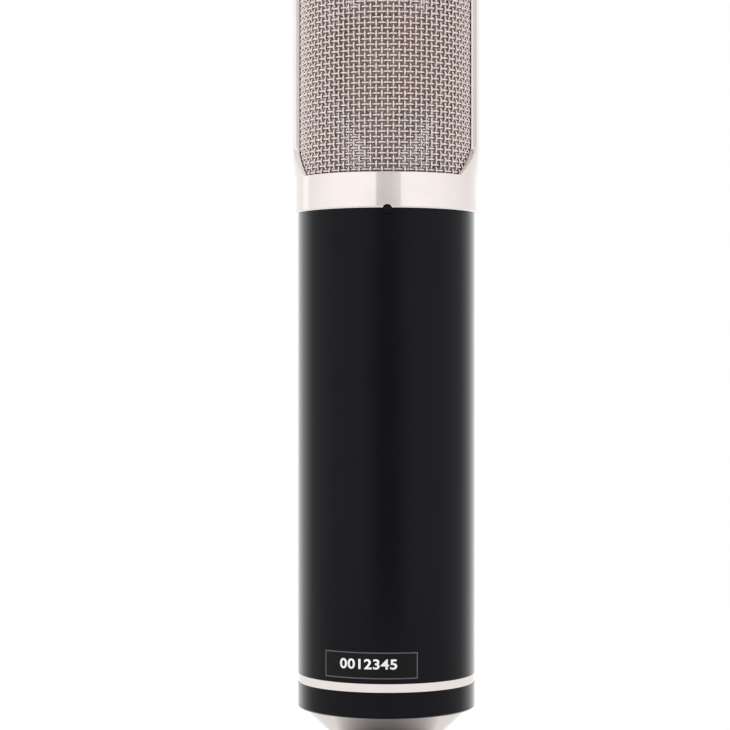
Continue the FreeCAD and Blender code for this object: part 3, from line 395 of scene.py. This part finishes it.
def new_piece(name, vertices, faces, material, body, smooth=True):
    mesh = bpy.data.meshes.new(name)
    mesh.from_pydata([tuple(map(float, vertex)) for vertex in vertices], [], faces)
    mesh.validate()
    if smooth:
        mesh.polygons.foreach_set("use_smooth", [True] * len(mesh.polygons))
    piece = bpy.data.objects.new(name, mesh)
    bpy.context.scene.collection.objects.link(piece)
    mesh.materials.append(MATERIALS[material])
    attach(piece, body)
    return piece


def loft(rings):
    """Vertices and faces of a tube through rings of points; the ends are closed with flat caps."""
    around = len(rings[0])
    vertices = [point for ring in rings for point in ring]
    faces = []
    for row in range(len(rings) - 1):
        for column in range(around):
            following = (column + 1) % around
            faces.append((row * around + column, row * around + following,
                          (row + 1) * around + following, (row + 1) * around + column))
    faces.append(tuple(reversed(range(around))))
    faces.append(tuple(range((len(rings) - 1) * around, len(rings) * around)))
    return vertices, faces


# ---------------------------------------------------------------- woven wire

DOME_POWER = 2.3   # how square the head's shoulders are, seen from the side
SHORTEST_WIRE = 5  # samples


def cloth_grid(radius, bottom, columns, pitch, side, steps):
    """Points and outward normals of one half of the head, on a grid of cloth coordinates.

    Column lines stay in planes of constant X, so the cloth runs straight up the wall and bends
    over the top towards the hoop. Points past the hoop's centre line are marked as not there.
    """
    inset = HOOP_RADIUS - radius
    corner = HOOP_CORNER - inset
    angles = np.linspace(-math.pi / 2, math.pi / 2, columns * steps + 1)
    bend = np.linspace(0, math.pi / 2, 160)
    lengths, across, heights = [], [], []
    for x in radius * np.sin(angles):
        rise = math.sqrt(max(corner ** 2 - max(abs(x) - HOOP_FLAT, 0) ** 2, 0))
        reach = math.sqrt(max(radius ** 2 - x ** 2, 0))
        y = np.append(reach, reach * np.cos(bend) ** (2 / DOME_POWER))
        z = np.append(bottom, SHOULDER + rise * np.sin(bend) ** (2 / DOME_POWER))
        lengths.append(np.append(0, np.cumsum(np.hypot(np.diff(y), np.diff(z)))))
        across.append(y)
        heights.append(z)
    rows = int(max(length[-1] for length in lengths) / pitch) + 1
    travel = np.arange(rows * steps + 1) * pitch / steps
    grid = np.zeros((len(angles), len(travel), 3))
    present = np.zeros(grid.shape[:2], bool)
    for index, x in enumerate(radius * np.sin(angles)):
        grid[index, :, 0] = x
        grid[index, :, 1] = np.interp(travel, lengths[index], across[index]) * side
        grid[index, :, 2] = np.interp(travel, lengths[index], heights[index])
        present[index] = travel <= lengths[index][-1]
    normals = np.cross(np.gradient(grid, axis=0), np.gradient(grid, axis=1)) * side
    size = np.linalg.norm(normals, axis=2, keepdims=True)
    radial = grid * (1, 1, 0)
    radial /= np.maximum(np.linalg.norm(radial, axis=2, keepdims=True), 1e-9)
    normals = np.where(size > 1e-12, normals / np.maximum(size, 1e-12), radial)
    outward = np.sign((normals * radial).sum(axis=2) + normals[:, :, 2] * 0.01)
    normals *= np.where(outward == 0, 1, outward)[:, :, None]
    return grid, normals, present


def wires(paths, normals, wire_radius, sides):
    """One tube per path, all in one list of vertices and faces; very short ends are left out."""
    turns = np.arange(sides) * 2 * math.pi / sides
    vertices, faces = [], []
    for path, normal in zip(paths, normals):
        if len(path) < SHORTEST_WIRE:
            continue
        along = np.gradient(path, axis=0)
        along /= np.linalg.norm(along, axis=1, keepdims=True)
        side = np.cross(along, normal)
        side /= np.linalg.norm(side, axis=1, keepdims=True)
        up = np.cross(side, along)
        ring = (path[:, None, :] + wire_radius * (np.cos(turns)[None, :, None] * up[:, None, :]
                                                  + np.sin(turns)[None, :, None] * side[:, None, :]))
        first = len(vertices)
        points, quads = loft(list(ring))
        vertices.extend(points)
        faces.extend(tuple(first + corner for corner in face) for face in quads)
    return vertices, faces


def weave(name, half, cloth, radius, bottom, node):
    """Plain weave over one half of the head: upright wires and level wires, over and under."""
    columns, pitch, wire_radius, steps, sides, material = cloth
    side = 1 if half == "front" else -1
    grid, normals, present = cloth_grid(radius, bottom, columns, pitch, side, steps)
    across = np.arange(grid.shape[0]) / steps - 0.5
    up = np.arange(grid.shape[1]) / steps - 0.5
    middle = steps // 2
    uprights, upright_normals, levels, level_normals = [], [], [], []
    for column in range(columns):
        line = column * steps + middle
        keep = present[line]
        swing = wire_radius * np.cos(math.pi * up) * (-1) ** column
        points = grid[line] + normals[line] * swing[:, None]
        uprights.append(points[keep])
        upright_normals.append(normals[line][keep])
    for row in range((grid.shape[1] - 1) // steps):
        line = row * steps + middle
        keep = present[:, line]
        swing = -wire_radius * np.cos(math.pi * across) * (-1) ** row
        points = grid[:, line] + normals[:, line] * swing[:, None]
        for run in np.split(np.arange(len(keep)), np.flatnonzero(np.diff(keep)) + 1):
            if keep[run[0]]:
                levels.append(points[run])
                level_normals.append(normals[run, line])
    for kind, paths, outward in (("upright", uprights, upright_normals),
                                 ("level", levels, level_normals)):
        vertices, faces = wires(paths, outward, wire_radius, sides)
        piece = new_piece(f"{name}_{kind}_wires_{half}", vertices, faces, material, "chassis")
        if kind == "upright":
            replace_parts(piece, node)


# columns in half a turn, pitch, wire radius, samples from one crossing to the next, wire sides
OUTER_CLOTH = (48, 1.48 * MM, 0.3 * MM, 4, 6, "nickel_mesh")
INNER_CLOTH = (98, 0.75 * MM, 0.12 * MM, 2, 4, "fine_mesh")


def make_meshes():
    for half in ("front", "rear"):
        for name, cloth, low, high in (("outer_mesh", OUTER_CLOTH, mesh_low, mesh_high),
                                       ("inner_mesh", INNER_CLOTH, inner_low, inner_high)):
            weave(name, half, cloth, high.x - 2 * cloth[2], low.z, f"{name}_{half}")


make_meshes()

# ---------------------------------------------------------------- hoop

FOOT_HEIGHT = 9.2 * MM
FOOT_HALF_WIDTH = 12.9 * MM
FOOT_SLOPE = math.radians(45)
FOOT_TONGUE = 0.15 * MM
HOOP_HALF_WIDTH = 4.6 * MM
HOOP_EDGE = 0.28 * MM
THICKEST_EDGE = 0.45   # share of the strip's thickness that one rounding may take
INNER_EDGE = 0.6       # inside rounding as a share of the outside one
EDGE_POINTS, FACE_STEPS = 6, 8
FOOT_STEPS, SIDE_STEPS, BEND_STEPS = 24, 9, 24


def hoop_section(half_width, thickness):
    """Across and depth of the strip's section, with all four corners rounded."""
    outer = min(HOOP_EDGE, thickness * THICKEST_EDGE)
    inner = outer * INNER_EDGE
    corners = [(half_width - outer, outer, outer, 0, 90),
               (-half_width + outer, outer, outer, 90, 180),
               (-half_width + inner, thickness - inner, inner, 180, 270),
               (half_width - inner, thickness - inner, inner, 270, 360)]
    points = []
    for index, (across, depth, bend, first, last) in enumerate(corners):
        for angle in np.radians(np.linspace(first, last, EDGE_POINTS)):
            points.append((across + bend * math.cos(angle), depth - bend * math.sin(angle)))
        if index % 2 == 0:
            following = corners[index + 1][0]
            points.extend((across + (following - across) * step / FACE_STEPS, points[-1][1])
                          for step in range(1, FACE_STEPS))
    return points


def hoop_ring(x, z, normal, half_width, thickness, outer_radius=HOOP_RADIUS):
    """One section of the hoop; normal is (x, z) out of the head, and faces follow the round head."""
    ring = []
    inner_radius = HOOP_RADIUS - HOOP_THICKNESS
    for across, depth in hoop_section(half_width, thickness):
        share = depth / thickness
        drop = ((outer_radius - math.sqrt(outer_radius ** 2 - across ** 2)) * (1 - share)
                + (inner_radius - math.sqrt(inner_radius ** 2 - across ** 2)) * share)
        inward = depth + drop
        ring.append(Vector((x - normal[0] * inward, across, z - normal[1] * inward)))
    return ring


def make_hoop():
    rings = []
    step = HOOP_RADIUS - collar_high.x
    foot_bend = (step ** 2 + FOOT_HEIGHT ** 2) / (2 * step)
    flare = FOOT_HALF_WIDTH - HOOP_HALF_WIDTH
    flare_bend = ((FOOT_HEIGHT * math.sin(FOOT_SLOPE) - flare * math.cos(FOOT_SLOPE))
                  / (1 - math.cos(FOOT_SLOPE)))
    base = hoop_low.z
    foot_thickness = HOOP_THICKNESS - step
    rings.append(hoop_ring(collar_high.x, base - FOOT_TONGUE, (1, 0), FOOT_HALF_WIDTH,
                           foot_thickness, collar_high.x))
    for index in range(FOOT_STEPS + 1):
        height = FOOT_HEIGHT * index / FOOT_STEPS
        below = FOOT_HEIGHT - height
        x = HOOP_RADIUS - (foot_bend - math.sqrt(foot_bend ** 2 - below ** 2))
        if below < flare_bend * math.sin(FOOT_SLOPE):
            half_width = HOOP_HALF_WIDTH + flare_bend - math.sqrt(flare_bend ** 2 - below ** 2)
        else:
            half_width = FOOT_HALF_WIDTH - height * math.tan(FOOT_SLOPE)
        rings.append(hoop_ring(x, base + height, (1, 0), half_width,
                               x - HOOP_RADIUS + HOOP_THICKNESS, x))
    for index in range(1, SIDE_STEPS):
        z = base + FOOT_HEIGHT + (SHOULDER - base - FOOT_HEIGHT) * index / SIDE_STEPS
        rings.append(hoop_ring(HOOP_RADIUS, z, (1, 0), HOOP_HALF_WIDTH, HOOP_THICKNESS))
    for index in range(BEND_STEPS + 1):
        angle = math.pi / 2 * index / BEND_STEPS
        normal = (math.cos(angle), math.sin(angle))
        x, z = HOOP_FLAT + HOOP_CORNER * normal[0], SHOULDER + HOOP_CORNER * normal[1]
        rings.append(hoop_ring(x, z, normal, HOOP_HALF_WIDTH, HOOP_THICKNESS))
    rings.append(hoop_ring(HOOP_FLAT / 2, hoop_high.z, (0, 1), HOOP_HALF_WIDTH, HOOP_THICKNESS))
    middle = [hoop_ring(0, hoop_high.z, (0, 1), HOOP_HALF_WIDTH, HOOP_THICKNESS)]
    mirrored = [[point * Vector((-1, 1, 1)) for point in ring] for ring in reversed(rings)]
    vertices, faces = loft(rings + middle + mirrored)
    piece = new_piece("hoop_strip", vertices, faces, "nickel_plate", "chassis")
    piece.data.set_sharp_from_angle(angle=math.radians(40))
    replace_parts(piece, "hoop_frame")


make_hoop()

# ---------------------------------------------------------------- label

LABEL_ANGLE = math.radians(-6.1)
LABEL_SPAN = math.radians(61.8)
LABEL_THICKNESS = 0.12 * MM
LABEL_SURFACE = TUBE_RADIUS + LABEL_THICKNESS
BORDER_WIDTH, BORDER_INSET, BORDER_STEPS = 0.28 * MM, 0.06 * MM, 48
DIGITS = "0012345"
DIGIT_HEIGHT = 2.8 * MM
DIGITS_WIDTH = 16.1 * MM
DIGITS_ANGLE = math.radians(-7.0)
DIGITS_RISE = 0.4 * MM
INK = 0.02 * MM


def wrap(x, y, lift, angle):
    """A point of the flat label wrapped round the tube; x is along the tube's girth."""
    turned = angle + x / TUBE_RADIUS
    radius = LABEL_SURFACE + lift
    return Vector((radius * math.sin(turned), -radius * math.cos(turned), y))


def make_digits():
    curve = bpy.data.curves.new("digits", "FONT")
    curve.body = DIGITS
    curve.size = 1.0
    curve.offset = 0.022
    curve.extrude = 0.01
    curve.space_character = 1.06
    flat = bpy.data.objects.new("digits", curve)
    bpy.context.scene.collection.objects.link(flat)
    bpy.context.view_layer.update()
    mesh = bpy.data.meshes.new_from_object(flat.evaluated_get(bpy.context.evaluated_depsgraph_get()))
    bpy.data.objects.remove(flat)
    points = np.array([vertex.co for vertex in mesh.vertices])
    low, high = points.min(0), points.max(0)
    scale = (DIGITS_WIDTH / (high[0] - low[0]), DIGIT_HEIGHT / (high[1] - low[1]))
    middle = (label_low.z + label_high.z) / 2 + DIGITS_RISE
    for vertex in mesh.vertices:
        x = (vertex.co.x - (low[0] + high[0]) / 2) * scale[0]
        y = middle + (vertex.co.y - (low[1] + high[1]) / 2) * scale[1]
        vertex.co = wrap(x, y, INK * (1.5 if vertex.co.z > 0 else 0.1), DIGITS_ANGLE)
    piece = bpy.data.objects.new("serial_digits", mesh)
    bpy.context.scene.collection.objects.link(piece)
    mesh.materials.clear()
    mesh.materials.append(white_ink)
    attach(piece, "sleeve")


def make_border():
    """Thin printed frame just inside the label's edge."""
    width = BORDER_WIDTH
    low, high = label_low.z + BORDER_INSET, label_high.z - BORDER_INSET
    outer = LABEL_SPAN * TUBE_RADIUS / 2 - BORDER_INSET
    vertices, faces = [], []

    def strip(x0, x1, z0, z1, steps):
        rows = []
        for index in range(steps + 1):
            x = x0 + (x1 - x0) * index / steps
            rows.append([wrap(x, z0, INK * 0.1, LABEL_ANGLE), wrap(x, z1, INK * 0.1, LABEL_ANGLE),
                         wrap(x, z1, INK, LABEL_ANGLE), wrap(x, z0, INK, LABEL_ANGLE)])
        points, quads = loft(rows)
        first = len(vertices)
        vertices.extend(points)
        faces.extend(tuple(first + corner for corner in face) for face in quads)

    strip(-outer, outer, low, low + width, BORDER_STEPS)
    strip(-outer, outer, high - width, high, BORDER_STEPS)
    strip(-outer, -outer + width, low + width, high - width, 1)
    strip(outer - width, outer, low + width, high - width, 1)
    piece = new_piece("label_border", vertices, faces, "label_film", "sleeve", smooth=False)
    piece.data.materials.clear()
    piece.data.materials.append(grey_ink)


white_ink = moulded("white_ink", (0.85, 0.85, 0.84), 0.45)
grey_ink = moulded("grey_ink", (0.085, 0.085, 0.09), 0.45)
make_digits()
make_border()

# ---------------------------------------------------------------- tail bell with its threads

LATHE_SEGMENTS = 180
THREAD_PITCH = 1.5 * MM
THREAD_DEPTH = 0.45 * MM
THREAD_ROWS = 12   # rings of points to one turn of the thread
NECK_THREAD = (0.8 * MM, 11.6 * MM)
THREAD_RELIEF = 0.5 * MM
SHOULDER_STEP = 0.15 * MM


def lathe(name, profile, material, body):
    """Closed lathe; profile holds (radius, height, thread) and thread scales a helical groove."""
    around = LATHE_SEGMENTS
    vertices = []
    for radius, height, thread in profile:
        for index in range(around):
            angle = 2 * math.pi * index / around
            phase = (height / THREAD_PITCH - index / around) % 1
            cut = THREAD_DEPTH * thread * (0.5 - 0.5 * math.cos(2 * math.pi * phase))
            reach = radius - cut
            vertices.append(Vector((reach * math.cos(angle), reach * math.sin(angle), height)))
    faces = []
    for row in range(len(profile)):
        following_row = (row + 1) % len(profile)
        for column in range(around):
            following = (column + 1) % around
            faces.append((row * around + column, row * around + following,
                          following_row * around + following, following_row * around + column))
    piece = new_piece(name, vertices, faces, material, body)
    piece.data.set_sharp_from_angle(angle=math.radians(32))
    return piece


def threaded(radius, low, high, runout=0.8 * MM):
    """Rings of a threaded stretch, its groove fading at both ends."""
    steps = int((high - low) / (THREAD_PITCH / THREAD_ROWS))
    rows = []
    for index in range(steps + 1):
        height = low + (high - low) * index / steps
        fade = min((height - low) / runout, (high - height) / runout, 1)
        rows.append((radius, height, fade))
    return rows


def make_bell():
    """The end bell again, with helical threads on the neck and under the lock ring."""
    neck, thread, spigot = 12 * MM, 23.4 * MM, bell_high.x
    cone_foot, cone_top = 13.6 * MM, ring_low.z
    cavity, cavity_depth, seat, cup, cup_floor = 8.2 * MM, 16 * MM, 9.6 * MM, 18 * MM, 24 * MM
    shoulder = tube_low.z + SHOULDER_STEP
    edge = 0.4 * MM
    soft = 0.3 * MM
    profile = [(cavity + soft, 0, 0), (neck - edge, 0, 0), (neck, edge, 0)]
    profile += threaded(neck, *NECK_THREAD)
    profile += [(neck, cone_foot - soft, 0), (neck + soft * 0.4, cone_foot + soft * 0.4, 0)]
    profile += [(thread - soft, cone_top - soft, 0), (thread, cone_top + soft * 0.3, 0)]
    profile += threaded(thread, cone_top + THREAD_RELIEF, shoulder - THREAD_RELIEF)
    profile += [(thread, shoulder, 0), (spigot, shoulder, 0), (spigot, bell_high.z - edge, 0),
                (spigot - edge, bell_high.z, 0), (cup, bell_high.z, 0), (cup, cup_floor, 0),
                (seat, cup_floor, 0), (seat, cavity_depth, 0), (cavity, cavity_depth, 0),
                (cavity, soft, 0)]
    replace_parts(lathe("tail_bell", profile, "nickel_plate", "chassis"), "end_bell")


make_bell()

# ---------------------------------------------------------------- surroundings

# brightness of the walls by bearing, in degrees to the right of the camera as the object sees it
WALLS = [(-180, 1.06), (-147, 1.06), (-135, 1.1), (-128, 1.28), (-122, 1.28), (-113, 1.07),
         (-88, 1.16), (-68, 1.22), (-45, 1.24), (-13.9, 1.25), (-12.9, 0.84), (-5, 0.8), (5, 0.82),
         (12, 0.91), (17.0, 0.93), (17.8, 1.24), (40, 1.24), (61, 1.2), (90, 1.12), (115, 1.04),
         (130, 1.01), (145, 1.05), (154, 1.08), (180, 1.06)]
# low down in the gap between the two large lights it is dimmer still; degrees of height, bearing
DIM_LEVEL = 0.5
DIM_TOP, DIM_EDGE = 3.6, 0.5
DIM_HALF_WIDTH, DIM_FADE = 12, 22
CEILING_EDGE, CEILING_TOP = 50, 72
CEILING_LEVEL = 0.97
BRIGHTEST = 1.5
BACKDROP = 1.0


def make_world():
    """White studio walls all round, with a dimmer gap between two large soft lights.

    The object is lit by the walls, but rays from the camera see a plain white backdrop instead.
    """
    world = bpy.data.worlds.new("studio")
    bpy.context.scene.world = world
    world.use_nodes = True
    tree = world.node_tree
    background = tree.nodes["Background"]
    coordinates = tree.nodes.new("ShaderNodeTexCoord")

    def maths(operation, first, second=None):
        made = tree.nodes.new("ShaderNodeMath")
        made.operation = operation
        tree.links.new(first, made.inputs[0])
        if isinstance(second, (int, float)):
            made.inputs[1].default_value = second
        elif second is not None:
            tree.links.new(second, made.inputs[1])
        return made.outputs["Value"]

    def dot(direction):
        product = tree.nodes.new("ShaderNodeVectorMath")
        product.operation = "DOT_PRODUCT"
        product.inputs[1].default_value = direction
        tree.links.new(coordinates.outputs["Generated"], product.inputs[0])
        return product.outputs["Value"]

    def ramp(angle, first, last, start=0.0, end=1.0):
        ramped = tree.nodes.new("ShaderNodeMapRange")
        for socket, number in zip(("From Min", "From Max", "To Min", "To Max"),
                                  (math.radians(first), math.radians(last), start, end)):
            ramped.inputs[socket].default_value = number
        tree.links.new(angle, ramped.inputs["Value"])
        return ramped.outputs["Result"]

    bearing = maths("ARCTAN2", dot(CAMERA_RIGHT), dot(TOWARDS_CAMERA))
    height = maths("ARCSINE", dot((0, 0, 1)))
    walls = tree.nodes.new("ShaderNodeValToRGB")
    stops = walls.color_ramp.elements
    while len(stops) < len(WALLS):
        stops.new(0.5)
    for stop, (angle, level) in zip(stops, WALLS):
        stop.position = (angle + 180) / 360
    for stop, (angle, level) in zip(stops, WALLS):
        stop.color = (level / BRIGHTEST,) * 3 + (1,)
    tree.links.new(ramp(bearing, -180, 180), walls.inputs["Fac"])
    beside = ramp(maths("ABSOLUTE", bearing), DIM_HALF_WIDTH + DIM_FADE, DIM_HALF_WIDTH)
    below = ramp(height, DIM_TOP + DIM_EDGE, DIM_TOP - DIM_EDGE)
    dimming = maths("MULTIPLY", maths("MULTIPLY", beside, below), DIM_LEVEL - 1)
    strength = maths("MULTIPLY", maths("ADD", dimming, 1.0), BRIGHTEST)
    room = tree.nodes.new("ShaderNodeMix")
    room.data_type = "RGBA"
    room.inputs["B"].default_value = (CEILING_LEVEL / BRIGHTEST,) * 3 + (1,)
    tree.links.new(ramp(height, CEILING_EDGE, CEILING_TOP), room.inputs["Factor"])
    tree.links.new(walls.outputs["Color"], room.inputs["A"])
    tree.links.new(room.outputs["Result"], background.inputs["Color"])
    tree.links.new(strength, background.inputs["Strength"])
    backdrop = tree.nodes.new("ShaderNodeBackground")
    backdrop.inputs["Color"].default_value = (1, 1, 1, 1)
    backdrop.inputs["Strength"].default_value = BACKDROP
    choice = tree.nodes.new("ShaderNodeMixShader")
    seen = tree.nodes.new("ShaderNodeLightPath").outputs["Is Camera Ray"]
    tree.links.new(seen, choice.inputs["Fac"])
    tree.links.new(background.outputs["Background"], choice.inputs[1])
    tree.links.new(backdrop.outputs["Background"], choice.inputs[2])
    tree.links.new(choice.outputs["Shader"], tree.nodes["World Output"].inputs["Surface"])
    bpy.context.scene.view_settings.view_transform = "Standard"


FLOOR_RADIUS, FLOOR_SIDES = 450 * MM, 96
# painted shadow: a dark patch painted on the paper under the tail, for the cone to reflect
PAINTED_SHADOW_RADIUS, PAINTED_SHADOW_EDGE, PAINTED_SHADOW_LEVEL = 20 * MM, 29 * MM, 0.06


def make_floor():
    """Pale paper disc, with a painted shadow, a dark patch, where the object stands."""
    angles = [2 * math.pi * index / FLOOR_SIDES for index in range(FLOOR_SIDES)]
    vertices = [(0, 0, 0)] + [(FLOOR_RADIUS * math.cos(angle), FLOOR_RADIUS * math.sin(angle), 0)
                              for angle in angles]
    faces = [(0, index + 1, (index + 1) % FLOOR_SIDES + 1) for index in range(FLOOR_SIDES)]
    mesh = bpy.data.meshes.new("floor")
    mesh.from_pydata(vertices, [], faces)
    floor = bpy.data.objects.new("floor", mesh)
    bpy.context.scene.collection.objects.link(floor)
    paper = Shader("floor_paper_painted_shadow", (0.985, 0.985, 0.98), roughness=0.8, Specular_IOR_Level=0.2)
    coordinates = paper.node("ShaderNodeTexCoord")
    length = paper.node("ShaderNodeVectorMath", operation="LENGTH")
    paper.link(coordinates.outputs["Object"], length.inputs[0])
    # painted shadow: the paper's colour darkens towards the middle, under the tail
    shade = paper.spread(length.outputs["Value"], 0, 1, PAINTED_SHADOW_RADIUS, PAINTED_SHADOW_EDGE)
    paper.tint(shade, PAINTED_SHADOW_LEVEL, 1.0)
    paper.rough(paper.noise(0.3 * MM), 0.75, 0.85)
    paper.bump(paper.noise(0.3 * MM), 0.005 * MM)
    mesh.materials.append(paper.material)


make_world()
make_floor()
